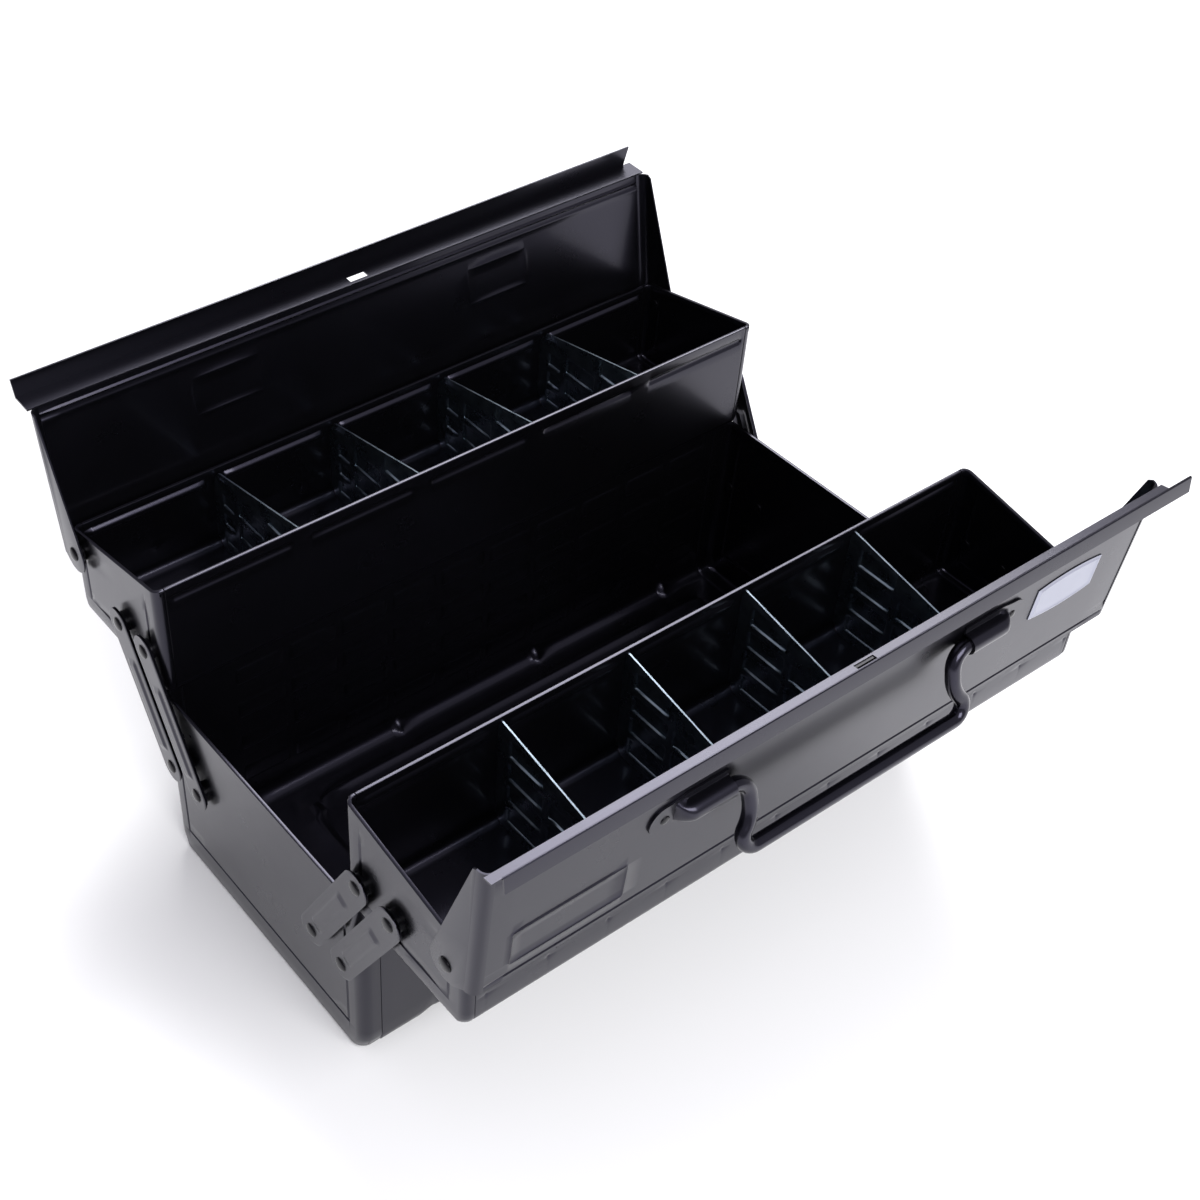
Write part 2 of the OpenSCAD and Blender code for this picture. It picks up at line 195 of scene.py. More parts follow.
def make_piece(name, parts, body, nodes, material):
    """A mesh object in metres from closed parts in millimetres, riding on a body in place of CAD nodes."""
    vertices, faces = join(parts)
    mesh = bpy.data.meshes.new(name)
    corners = [face for part in faces for face in part.tolist()]
    mesh.from_pydata((np.concatenate(vertices) * MM).tolist(), [], corners)
    mesh.validate()
    mesh.materials.append(material)
    mesh.shade_smooth()
    mesh.set_sharp_from_angle(angle=SMOOTH_ANGLE)
    piece = bpy.data.objects.new(name, mesh)
    bpy.context.collection.objects.link(piece)
    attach(piece, body)
    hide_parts(*nodes)
    print(f"{name}: {sum(len(f) for f in faces)} faces")
    return piece


def on_side(points, side):
    """Own-side points (x, out, up) placed on the rear or the front of the box."""
    placed = np.array(points, float)
    placed[..., 1] *= side
    return placed if side == REAR else placed[::-1]


def at_end(points, end):
    """Points made for the right-hand end, mirrored to the left when asked."""
    placed = np.array(points, float)
    placed[..., 0] *= end
    return placed if end == RIGHT else placed[::-1]


# %% [markdown]
# Materials are small node trees over object coordinates in metres. These helpers add a node with
# its settings and links, and give noise and bumps by their size in millimetres.

# %% Material helpers
def linear(hex_colour):
    """An sRGB hex colour as linear red, green, blue, alpha."""
    value = [int(hex_colour[i:i + 2], 16) / 255 for i in (1, 3, 5)]
    return [c / 12.92 if c <= 0.04045 else ((c + 0.055) / 1.055) ** 2.4 for c in value] + [1.0]


def add_node(tree, kind, settings=None, inputs=None, links=None):
    """Adds a node, sets its attributes and input values, and links inputs from other sockets."""
    node = tree.nodes.new(kind)
    for key, value in (settings or {}).items():
        setattr(node, key, value)
    for key, value in (inputs or {}).items():
        node.inputs[key].default_value = value
    for key, socket in (links or {}).items():
        tree.links.new(socket, node.inputs[key])
    return node


def new_material(name):
    """An empty node material and its Principled shader, already linked to the output."""
    material = bpy.data.materials.new(name)
    material.use_nodes = True
    tree = material.node_tree
    tree.nodes.clear()
    shader = add_node(tree, "ShaderNodeBsdfPrincipled")
    add_node(tree, "ShaderNodeOutputMaterial", links={"Surface": shader.outputs["BSDF"]})
    return material, tree, shader


def coordinates(tree, scale=(1, 1, 1)):
    """Object coordinates in metres, stretched by scale."""
    where = add_node(tree, "ShaderNodeTexCoord")
    return add_node(tree, "ShaderNodeMapping", inputs={"Scale": scale},
                    links={"Vector": where.outputs["Object"]}).outputs["Vector"]


def noise(tree, vector, size_mm, detail=2.0, rough=0.5):
    """Noise whose blobs are about size_mm across."""
    return add_node(tree, "ShaderNodeTexNoise", inputs={"Scale": 1 / (size_mm * MM), "Detail": detail,
                    "Roughness": rough}, links={"Vector": vector}).outputs["Fac"]


def spread(tree, value, low, high):
    """A 0 to 1 value moved to the range low to high."""
    return add_node(tree, "ShaderNodeMapRange", inputs={"To Min": low, "To Max": high},
                    links={"Value": value}).outputs["Result"]


def bump(tree, height, strength, depth_mm):
    """A normal disturbed by a height of about depth_mm."""
    return add_node(tree, "ShaderNodeBump", inputs={"Strength": strength, "Distance": depth_mm * MM},
                    links={"Height": height}).outputs["Normal"]


# %% [markdown]
# Gloss black baking enamel on sheet steel: a deep black dielectric with a smooth, slightly rolling
# "orange peel" that softens reflections. A thin clear coat gives the shine. The peel is drawn as
# low bumps about 2 mm across, and patches about 40 mm across make the roughness uneven. The
# reflections are tinted a faint lilac.

# %% Black baking enamel
def gloss_black_enamel(name, base="#040405", roughness=(0.24, 0.33), shine="#c6c2e6"):
    material, tree, shader = new_material(name)
    where = coordinates(tree)
    peel = noise(tree, where, 2.2, detail=1.0)
    dust = noise(tree, where, 38, detail=4.0, rough=0.6)
    shader.inputs["Base Color"].default_value = linear(base)
    shader.inputs["IOR"].default_value = 1.5
    shader.inputs["Specular Tint"].default_value = linear(shine)
    shader.inputs["Coat Weight"].default_value = 0.15
    shader.inputs["Coat Roughness"].default_value = 0.12
    shader.inputs["Coat IOR"].default_value = 1.5
    tree.links.new(spread(tree, dust, *roughness), shader.inputs["Roughness"])
    tree.links.new(bump(tree, peel, 0.12, 0.05), shader.inputs["Normal"])
    return material


# %% [markdown]
# The dividers are thin steel with a bright zinc plating: a cool grey metal, brushed faintly by the
# rolls along its length, with the cloudy spangle of the plating about 9 mm across. The badge is
# aluminium brushed along x. Blackened steel, on rivets and washers, is the enamel with a slightly
# lighter base and a dimmer, greyer reflection.

# %% Zinc plate, badge and blackened steel
def bright_zinc_plate(name):
    material, tree, shader = new_material(name)
    cloud = noise(tree, coordinates(tree), 9, detail=3.0, rough=0.65)
    roll = noise(tree, coordinates(tree, (1.0, 0.06, 1.0)), 0.9, detail=2.0)
    ramp = add_node(tree, "ShaderNodeValToRGB", links={"Fac": cloud})
    ramp.color_ramp.elements[0].position = 0.3
    ramp.color_ramp.elements[0].color = linear("#7d8a95")
    ramp.color_ramp.elements[1].position = 0.75
    ramp.color_ramp.elements[1].color = linear("#9aa6b0")
    tree.links.new(ramp.outputs["Color"], shader.inputs["Base Color"])
    shader.inputs["Metallic"].default_value = 1.0
    tree.links.new(spread(tree, cloud, 0.24, 0.32), shader.inputs["Roughness"])
    tree.links.new(bump(tree, roll, 0.06, 0.03), shader.inputs["Normal"])
    return material


def brushed_aluminium(name):
    material, tree, shader = new_material(name)
    grain = noise(tree, coordinates(tree, (0.03, 1.0, 1.0)), 0.5, detail=2.0)
    patch = noise(tree, coordinates(tree), 14, detail=2.0)
    shader.inputs["Base Color"].default_value = linear("#9fa1ae")
    shader.inputs["Metallic"].default_value = 1.0
    tree.links.new(spread(tree, patch, 0.26, 0.42), shader.inputs["Roughness"])
    tree.links.new(bump(tree, grain, 0.2, 0.04), shader.inputs["Normal"])
    return material


ENAMEL = gloss_black_enamel("gloss_black_enamel")
ROD_ENAMEL = gloss_black_enamel("rod_black_enamel", base="#030304", roughness=(0.18, 0.26))
DARK_STEEL = gloss_black_enamel("blackened_steel", base="#060608", roughness=(0.2, 0.3), shine="#77757f")
ZINC = bright_zinc_plate("bright_zinc_plate")
BADGE = brushed_aluminium("brushed_aluminium")
print("materials", [m.name for m in (ENAMEL, ROD_ENAMEL, DARK_STEEL, ZINC, BADGE)])

# %% [markdown]
# The case and both trays are made the same way: a trough bent from one sheet, and a pressed pan
# closing each end. A trough is its cross-section carried along x. The cross-section is a line of
# straights and quarter arcs, and at each rim the sheet turns over into a narrow hem.

# %% Troughs
HEM = 3.2
JOGGLE = 0.85


def trough_section(width, h_in, h_out, radius, wall_step, edges_in=(), edges_out=(), floor_edges=()):
    """Points (out, up) and labels of a U section: hem, inner wall, bend, floor, bend, outer wall, hem.
    The label is 0 on the inner wall, 1 on floor and bends, 2 on the outer wall and -1 on a hem."""
    down = grid_lines(radius, h_in - 0.4, wall_step, edges_in)[::-1]
    up = grid_lines(radius, h_out - 0.4, wall_step, edges_out)
    floor = grid_lines(radius, width - radius, 6, floor_edges)
    arc = np.radians(np.linspace(0, 90, 9))[1:-1]

    def hem(height):
        t = SHEET
        return np.array([[2.2 * t, height - HEM], [2.2 * t, height - 0.5], [1.9 * t, height - 0.1],
                         [1.1 * t, height], [0.3 * t, height - 0.1]])

    inner_hem = hem(h_in)
    outer_hem = hem(h_out)[::-1] * [-1, 1] + [width, 0]
    points = np.concatenate([
        inner_hem,
        np.stack([0 * down, down], -1),
        np.stack([radius * (1 - np.cos(arc)), radius * (1 - np.sin(arc))], -1),
        np.stack([floor, 0 * floor], -1),
        np.stack([width - radius * (1 - np.sin(arc)), radius * (1 - np.cos(arc))], -1),
        np.stack([0 * up + width, up], -1),
        outer_hem])
    bottom = np.ones(2 * len(arc) + len(floor))
    label = np.concatenate([[-1] * 5, 0 * down, bottom, 0 * up + 2, [-1] * 5])
    return points, label


def trough_grid(section, label, seam_x, reach_x, press, x_edges, place):
    """The section carried along x. press(x, out, up, label) is how far the sheet is pressed inwards, and
    past the seam the sheet steps in by a little over its thickness, to slip inside the end pan. Rows run
    against x, so that the grid's normals point out of the trough."""
    xs = grid_lines(-reach_x, reach_x, 7, list(x_edges) + [-seam_x, seam_x])
    out, up = section[:, 0], section[:, 1]
    d = np.gradient(section, axis=0)
    normal = np.stack([d[:, 1], -d[:, 0]], -1)
    normal /= np.linalg.norm(normal, axis=1, keepdims=True)
    x = xs[:, None]
    inward = press(x, out[None, :], up[None, :], label[None, :])
    inward = inward + JOGGLE * soft_step(np.abs(x), seam_x - 0.6, seam_x + 0.2)
    points = np.zeros((len(xs), len(out), 3))
    points[..., 0] = x
    points[..., 1] = out + place[0] - normal[:, 0] * inward
    points[..., 2] = up + place[1] - normal[:, 1] * inward
    return points[::-1]


# %% [markdown]
# The case's long walls carry rows of shallow pressed rectangles, 25.6 by 9.6 mm at a pitch of 30 by
# 22 mm. They, the ring in the floor and the dents across the bottom bends stiffen the sheet, so
# they are real height here, not only a bump in the material.

# %% Case trough
PITCH_X, PITCH_Z = 30.0, 22.0
RECT_X, RECT_Z = -3.5, 22.75
RECT_HALF = (12.8, 4.8)
WALL_RECTS_X = RECT_X + PITCH_X * np.arange(-4, 6)
WALL_RECTS_Z = RECT_Z + PITCH_Z * np.arange(4)
GUSSETS = [-137.0, -45.6, 45.6, 137.0]


def case_press(x, out, up, label):
    """Rows of shallow rounded rectangles in both long walls, a ring bead in the floor and four dents
    across each long bottom bend."""
    height = 0 * x + 0 * out
    cell_x = (x - RECT_X + PITCH_X / 2) % PITCH_X - PITCH_X / 2
    cell_z = (up - RECT_Z + PITCH_Z / 2) % PITCH_Z - PITCH_Z / 2
    rect = round_rect(cell_x, cell_z, (0, 0), RECT_HALF, 1.6)
    inside = (x > -138.5) & (x < 161.5) & (up > 12) & (up < 100) & ((label == 0) | (label == 2))
    height = height + np.where(inside, 0.5 * soft_step(-rect, -0.3, 0.7), 0)
    floor = label == 1
    ring = round_rect(x, out, (22, CASE_HALF), (137, 60), 22)
    height = height + np.where(floor, 1.3 * bead(ring, 3.0), 0)
    bend = bead(np.hypot(np.minimum(out, 2 * CASE_HALF - out) - 2.6, up - 2.6), 7.5)
    for g in GUSSETS:
        height = height + np.where(floor, 2.2 * bead(x - g, 4.0) * bend, 0)
    return height


rect_edges_x = np.concatenate([WALL_RECTS_X - RECT_HALF[0], WALL_RECTS_X + RECT_HALF[0]])
rect_edges_z = np.concatenate([WALL_RECTS_Z - RECT_HALF[1], WALL_RECTS_Z + RECT_HALF[1]])
case_section, case_label = trough_section(2 * CASE_HALF, CASE_H, CASE_H, 9, 9, rect_edges_z, rect_edges_z,
                                          (19, 29, 129, 139))
case_grid = trough_grid(case_section, case_label, 165.0, 171.0, case_press,
                        list(rect_edges_x) + GUSSETS + [-115, -108, 152, 159], (-CASE_HALF, 0))
make_piece("case_trough", [sheet_solid(case_grid)], "case", ["body_trough"], ENAMEL)

# %% [markdown]
# An end pan wraps the end plate, its two round upright corners, the side flanges and a short
# return under the floor. One grid does it all: a column is a place along the plan outline, a row
# is a height, and a point lies as far from the end plane as the rounder of the two asks for.

# %% End pans
def end_pan(width, h_in, h_out, bend_r, corner_r, seam, place, groove_inset, groove_up):
    """Grid of the pan at the right-hand end. For a row at height z the half outline's width follows the
    long bend's circle; for a column, the plan corner is a quarter circle of corner_r."""
    foot_r = 2.5
    arc = np.radians(np.linspace(0, 90, 9))
    back = np.concatenate([np.linspace(seam, corner_r, 3)[:-1], corner_r * (1 - np.sin(arc))])
    inset = np.concatenate([[0, 0], corner_r * (1 - np.cos(arc))])
    flat = width - 2 * corner_r
    groove = groove_inset - corner_r
    plate = grid_lines(0, 1, 1 / 14, np.array([groove, flat - groove]) / flat, 0.9 / flat)[1:-1]
    gx = np.concatenate([back, 0 * plate, back[::-1]])
    low_inset = np.concatenate([inset, corner_r + 0 * plate, inset[::-1]])
    across = np.concatenate([0 * back, plate, 0 * back + 1])

    foot = np.radians(np.linspace(0, 90, 5))
    rows_z = np.concatenate([[0, 0], foot_r * (1 - np.cos(foot))])
    rows_back = np.concatenate([[corner_r, 0.5 * (corner_r + foot_r)], foot_r * (1 - np.sin(foot))])
    upper = grid_lines(foot_r, 100, 7, [groove_up / h_in * 100], 0.8)[1:]
    slope = (h_in - h_out) / width

    columns = len(gx)
    rows = len(rows_z) + len(upper)
    u = np.zeros((columns, rows + 5))
    z = np.zeros_like(u)
    back_x = np.zeros_like(u)
    for j in range(rows):
        low = j < len(rows_z)
        for_z = rows_z[j] if low else upper[j - len(rows_z)]
        q = 0.0 if low else (for_z - foot_r) / (100 - foot_r)
        guess = np.where(across < 0.5, low_inset, width - low_inset)
        guess = np.where((across > 0) & (across < 1), corner_r + across * (width - 2 * corner_r), guess)
        top = h_in - slope * guess - 0.4
        height = rows_z[j] if low else foot_r + q * (top - foot_r)
        pull = bend_r - np.sqrt(np.maximum(bend_r ** 2 - np.maximum(bend_r - height, 0) ** 2, 0))
        left = pull + low_inset
        span = width - 2 * (pull + corner_r)
        middle = pull + corner_r + across * span
        u[:, j] = np.where(across == 0, left, np.where(across == 1, width - pull - low_inset, middle))
        z[:, j] = height
        back_x[:, j] = np.maximum(gx, rows_back[j] if low else 0)
    plan_normal = np.gradient(np.stack([END_X - gx, u[:, rows - 1]], -1), axis=0)
    plan_normal = np.stack([plan_normal[:, 1], -plan_normal[:, 0]], -1)
    plan_normal /= np.linalg.norm(plan_normal, axis=1, keepdims=True)
    rim = h_in - slope * u[:, rows - 1]
    hem_in = SHEET * np.array([0.3, 1.1, 1.9, 2.2, 2.2])
    hem_up = np.array([-0.1, 0, -0.1, -0.5, -HEM])
    for k in range(5):
        u[:, rows + k] = u[:, rows - 1] - plan_normal[:, 1] * hem_in[k]
        back_x[:, rows + k] = gx + plan_normal[:, 0] * hem_in[k]
        z[:, rows + k] = rim + hem_up[k]

    edge = np.minimum(np.minimum(u, width - u), np.minimum(z + groove_inset - groove_up,
                                                          h_in - slope * u - z)) - groove_inset
    line = 0.7 * bead(edge, 1.1)
    line[:, rows:] = 0
    x = END_X - back_x - np.where(back_x < 0.2, line, 0)
    return np.stack([x, u + place[0], z + place[1]], -1)


pan = end_pan(2 * CASE_HALF, CASE_H, CASE_H, 9, 6, 10, (-CASE_HALF, 0), 11.0, 16.0)
for end, word in ((LEFT, "left"), (RIGHT, "right")):
    make_piece(f"case_{word}_end", [sheet_solid(at_end(pan, end))], "case", [f"body_{word}_end"],
               ENAMEL)

# %% [markdown]
# The trays repeat the case's way of making in a smaller section whose outer wall is lower than its
# inner one. A stiffening bead runs inside both walls 7 mm below the rim, broken at each divider,
# and a row of small weld dimples marks the outer wall.

# %% Trays
DIVIDER_X = [(low[0] + SHEET / 2) for low in (box_mm(f"rear_divider_{i}")[0] for i in (1, 2, 3, 4))]
DIMPLES = -164.8 + 30.2 * np.arange(12)


def tray_press(x, out, up, label):
    """The bead 7 mm below each rim, between the dividers, and the weld dimples pressed in."""
    height = 0 * x + 0 * out
    gap = np.min(np.abs(x[..., None] - np.array(DIVIDER_X + [-END_X + 2, END_X - 2])), axis=-1)
    run = soft_step(gap, 4.0, 7.0)
    height = height + np.where(label == 2, 1.7 * bead(up - (TRAY_H_OUT - 7.2), 3.0) * run, 0)
    height = height + np.where(label == 0, 1.1 * bead(up - (TRAY_H_IN - 7.2), 3.0) * run, 0)
    near = np.min(np.abs(x[..., None] - DIMPLES), axis=-1)
    return height + np.where(label == 2, 0.5 * bead(np.hypot(near, up - 15.7), 1.7), 0)


bead_ends = [d + s * 5.5 for d in DIVIDER_X for s in (-1, 1)]
tray_section, tray_label = trough_section(TRAY_W, TRAY_H_IN, TRAY_H_OUT, 6, 7, (53.7, 55.2, 56.7),
                                          (15.7, 38.3, 39.8, 41.3))
tray_grid = trough_grid(tray_section, tray_label, END_X - 4.8, END_X - 2.6, tray_press,
                        list(DIMPLES) + bead_ends, (TRAY_OUT, TRAY_UP))
tray_pan = end_pan(TRAY_W, TRAY_H_IN, TRAY_H_OUT, 6, 4.4, 4.8, (TRAY_OUT, TRAY_UP), 10.5, 10.5)
SIDES = ((REAR, "rear"), (FRONT, "front"))
for side, name in SIDES:
    make_piece(f"{name}_tray_trough_sheet", [sheet_solid(on_side(tray_grid, side))], f"{name}_tray",
               [f"{name}_tray_trough"], ENAMEL)
    for end, word in ((LEFT, "left"), (RIGHT, "right")):
        make_piece(f"{name}_tray_{word}_pan", [sheet_solid(on_side(at_end(tray_pan, end), side))],
                   f"{name}_tray", [f"{name}_tray_{word}_end"], ENAMEL)

# %% [markdown]
# A divider is a thin plated sheet stiffened by a grid of pressed panels: two columns of low
# rounded rectangles and a narrow third, with a folded top edge that catches the light.

# %% Dividers
CELLS = [((19.0, 10.0 + 13.2 * i), (11.5, 5.2)) for i in range(4)]
CELLS += [((45.0, 10.0 + 13.2 * i), (11.5, 5.2)) for i in range(3)]
CELLS += [((65.5, 9.5 + 11.5 * i), (5.5, 4.2)) for i in range(3)]


def divider_grid():
    """Surface (x, out, up) of a divider at x = 0: the section's outline filled by columns across."""
    edges = sorted({round(c[0] + s * h[0], 2) for c, h in CELLS for s in (-1, 1)})
    out = grid_lines(SHEET + 0.1, TRAY_W - SHEET - 0.1, 4, edges, 0.7)
    rows = sorted({round((c[1] + s * h[1]) / TRAY_H_IN, 4) for c, h in CELLS for s in (-1, 1)})
    q = grid_lines(0, 1, 0.05, rows, 0.012)
    slope = (TRAY_H_IN - TRAY_H_OUT) / TRAY_W
    r = 6 - SHEET
    side = np.minimum(out - SHEET, TRAY_W - SHEET - out)
    floor = SHEET + 0.1 + r - np.sqrt(np.maximum(r * r - np.maximum(r - side, 0) ** 2, 0))
    far = np.maximum(out - (TRAY_W - SHEET - 6), 0)
    top = TRAY_H_IN - slope * out - 1.6 - (6 - np.sqrt(np.maximum(36 - far ** 2, 0)))
    up = floor[:, None] + np.clip(q[None, :] * TRAY_H_IN - floor[:, None], 0, None)
    up = np.minimum(up, top[:, None] - 0.01 * (1 - q[None, :]))
    height = 0 * up
    for centre, half in CELLS:
        inside = -round_rect(out[:, None], up, centre, half, 1.8)
        height = np.maximum(height, soft_step(inside, 0.0, 0.7))
    height = height + 0.5 * soft_step(up - top[:, None], -2.6, -2.0)
    return np.stack([height + SHEET / 2, out[:, None] + 0 * up + TRAY_OUT, up + TRAY_UP], -1)


divider = divider_grid()
for side, name in SIDES:
    for i, x in enumerate(DIVIDER_X):
        make_piece(f"{name}_divider_plate_{i + 1}", [sheet_solid(on_side(divider + [x, 0, 0], side))],
                   f"{name}_tray", [f"{name}_divider_{i + 1}"], ZINC)

# %% [markdown]
# An arm is a strip with round ends and a rib pressed along its middle. Its grid runs along the
# strip and across it, and the strip's half width follows a circle at both ends.

# %% Arms
ARM_X = box_mm("rear_inner_arm_right")


def arm_grid(low):
    """Surface of one right-hand arm: along its length t and across it, with the rib as height."""
    length = np.linalg.norm(ARM_VECTOR)
    r = 8.0
    quarter = np.radians(np.linspace(0, 90, 9))
    middle = grid_lines(0, length, 4, (9, 12, 53, 56))[1:-1]
    t = np.concatenate([-r * np.cos(quarter), middle, length + r * np.sin(quarter)])
    past = np.minimum(t, 0) ** 2 + np.maximum(t - length, 0) ** 2
    half = np.sqrt(np.maximum(r * r - past, 0.01))
    k = np.linspace(-1, 1, 25)
    w = half[:, None] * k[None, :]
    run = soft_step(t, 8, 12)[:, None] * (1 - soft_step(t, 52, 56))[:, None]
    rib = 0.85 * run * (1 - soft_step(np.abs(w), 2.2, 4.2))
    round_over = -0.25 * soft_step(np.abs(k), 0.9, 1.0)[None, :]
    along = ARM_VECTOR / length
    out = low[0] + t[:, None] * along[0] - w * along[1]
    up = low[1] + t[:, None] * along[1] + w * along[0]
    return np.stack([ARM_X[1][0] + rib + round_over, out, up], -1)


for side, name in SIDES:
    for index, which in enumerate(("inner", "outer")):
        for end, word in ((LEFT, "left"), (RIGHT, "right")):
            strip = on_side(at_end(arm_grid(ARM_LOW[index]), end), side)
            make_piece(f"{name}_{which}_{word}_strip", [sheet_solid(strip, 1.5)], f"{name}_arms_{which}",
                       [f"{name}_{which}_arm_{word}"], ENAMEL)

# %% [markdown]
# The rivets are turned shapes: a profile spun round the rivet's own axis. A dome outside, a thin
# flat head inside, and a plain shank between them.

# %% Rivets
def spun(profile, centre, end, turns=28):
    """Closed surface of a profile (x, radius) about the axis through centre = (out, up), parallel to x."""
    angle = np.linspace(0, 2 * np.pi, turns, endpoint=False)
    x, radius = np.array(profile, float).T
    ring = np.stack([np.repeat(x[:, None] * end, turns, 1), centre[0] + radius[:, None] * np.cos(angle),
                     centre[1] + radius[:, None] * np.sin(angle)], -1)
    return ring_solid(ring)


HEAD_X = box_mm("body_arm_rivets")[1][0]


def rivet_profile(inner_r):
    """Inner head, shank and a dome: half a flattened circle of 3.5 mm radius and 1.2 mm height."""
    dome = np.radians(np.linspace(0, 84, 8))
    base = HEAD_X - 1.2
    wall = END_X - SHEET
    points = [(wall - 1.0, inner_r - 0.4), (wall - 0.7, inner_r), (wall - 0.05, inner_r),
              (wall - 0.05, 2.0), (base - 0.02, 2.0)]
    return points + [(base + 1.2 * np.sin(a), 3.5 * np.cos(a)) for a in dome]


tray_pivots = [p + ARM_VECTOR for p in ARM_LOW]
ARM_HEAD_R, HINGE_HEAD_R = 3.3, 2.6
rivet_groups = [("case_rivet_set", "case", "body_arm_rivets", ARM_HEAD_R, ARM_LOW, (REAR, FRONT))]
for side, name in SIDES:
    tray = f"{name}_tray"
    rivet_groups.append((f"{name}_arm_rivet_set", tray, f"{tray}_rivets", ARM_HEAD_R, tray_pivots, (side,)))
    rivet_groups.append((f"{name}_hinge_rivet_set", tray, f"{name}_hinge_rivets", HINGE_HEAD_R, [HINGE],
                         (side,)))
for piece_name, body, node, inner_r, centres, sides in rivet_groups:
    parts = [spun(rivet_profile(inner_r), (c[0] * s, c[1]), end)
             for c in centres for s in sides for end in (LEFT, RIGHT)]
    make_piece(piece_name, parts, body, [node], DARK_STEEL)

# %% [markdown]
# A lid is a bent panel with a tapering cheek at each end. The panel's profile is carried along x;
# the corner to the cheek is a quarter round; the cheek itself is a flat shape whose outline goes
# up the panel, over the ridge, down the free edge and round the hinge.

# %% Lids
PROFILES = {
    REAR: {"bottom": HINGE + [13, -5.5], "fold": HINGE + [24.4, 65.9], "web": HINGE + [35.4, 66.3],
           "lip": HINGE + [35.0, 76.7]},
    FRONT: {"bottom": HINGE + [16, -3.8], "fold": HINGE + [20.9, 70.5], "web": HINGE + [24.8, 71.0],
            "lip": HINGE + [25.9, 63.9], "skirt": 2.6},
}
CORNER_R = 5.0
CLIP_UP = 48.0
CLIP_RIVET = (94.5, 46.5)
HALF_SHEET = SHEET / 2


def panel_axes(side):
    """Unit vectors up the panel and outwards from it, in (out, up), and the panel's length."""
    run = PROFILES[side]["fold"] - PROFILES[side]["bottom"]
    length = np.linalg.norm(run)
    up = run / length
    return up, np.array([up[1], -up[0]]), length


def panel_height(side, x, s, length):
    """Pressed marks on a panel: a border line 3 mm in and a faint line below the fold, then a raised
    label frame on the front, and the outlines of the handle clips' seats on the rear."""
    border = round_rect(x, s, (0, length / 2), (CHEEK_X - 4.5, length / 2 - 3.6), 7.0)
    height = -0.7 * bead(border, 0.9)
    height = height - 0.25 * bead(s - (length - 7.3), 1.4)
    if side == FRONT:
        label = round_rect(x, s, (-136.0, 19.8), (27.0, 9.6), 1.0)
        height = height + 0.6 * bead(label, 0.9)
    else:
        seat = round_rect(np.abs(x), s, (80.0, 47.6), (18.5, 9.5), 6.0)
        height = height - 0.3 * bead(seat, 1.2)
    return height


def lid_parts(side):
    """The closed sheets of a lid: bent panel, corner rounds and cheeks."""
    shape = PROFILES[side]
    up, outward, length = panel_axes(side)
    flat = CHEEK_X - CORNER_R
    xs = grid_lines(-flat, flat, 8, [-163, -109, -98.5, -61.5, 61.5, 98.5], 0.9)
    s = grid_lines(0, length, 5, [3.6, 10.2, 29.4, 38.1, 57.1, length - 7.3, length - 3.6], 0.9)
    height = panel_height(side, xs[:, None], s[None, :], length)
    face = shape["bottom"] + outward * HALF_SHEET
    panel = np.zeros((len(xs), len(s), 3))
    panel[..., 0] = xs[:, None]
    panel[..., 1] = face[0] + s * up[0] + height * outward[0]
    panel[..., 2] = face[1] + s * up[1] + height * outward[1]
    parts = [sheet_solid(panel[::-1])]
    arc = np.radians(np.linspace(0, 90, 8))
    for end in (LEFT, RIGHT):
        corner = np.zeros((len(arc), len(s), 3))
        corner[..., 0] = (flat + CORNER_R * np.sin(arc))[:, None]
        back = CORNER_R * (1 - np.cos(arc))[:, None]
        corner[..., 1] = face[0] + s * up[0] - back * outward[0]
        corner[..., 2] = face[1] + s * up[1] - back * outward[1]
        parts.append(sheet_solid(at_end(corner[::-1], end)))
        parts.append(cheek_solid(shape, up, outward, length, end))
    return parts


def cheek_solid(shape, up, outward, length, end):
    """A flat cheek: rings of its outline through the sheet's thickness, with the outer edge softened."""
    start = shape["bottom"] - outward * (CORNER_R - HALF_SHEET) - HINGE
    top = start + up * length
    free = top - outward * 1.8 - up * 1.2
    hinge_r = 9.4

    def touch(p, turn):
        return math.atan2(p[1], p[0]) + turn * math.acos(hinge_r / np.hypot(*p))

    a0, a1 = touch(free, 1), touch(start, -1) + 2 * np.pi
    around = np.linspace(a0, a1, 24)
    ring = hinge_r * np.stack([np.cos(around), np.sin(around)], -1)
    edge = np.concatenate([start + np.outer(np.linspace(0, 1, 14), top - start), [free],
                           free + np.outer(np.linspace(0, 1, 14)[1:-1], ring[0] - free), ring])
    centre = edge.mean(axis=0)
    shrink = np.array([1.0, 1.0, 0.995, 0.985])[:, None, None]
    rings = np.zeros((4, len(edge), 3))
    rings[..., 0] = CHEEK_X - np.array([SHEET, 0.25, 0.05, 0])[:, None]
    rings[..., 1:] = HINGE + centre + shrink * (edge - centre)
    rings[..., 0] *= end
    return ring_solid(rings)


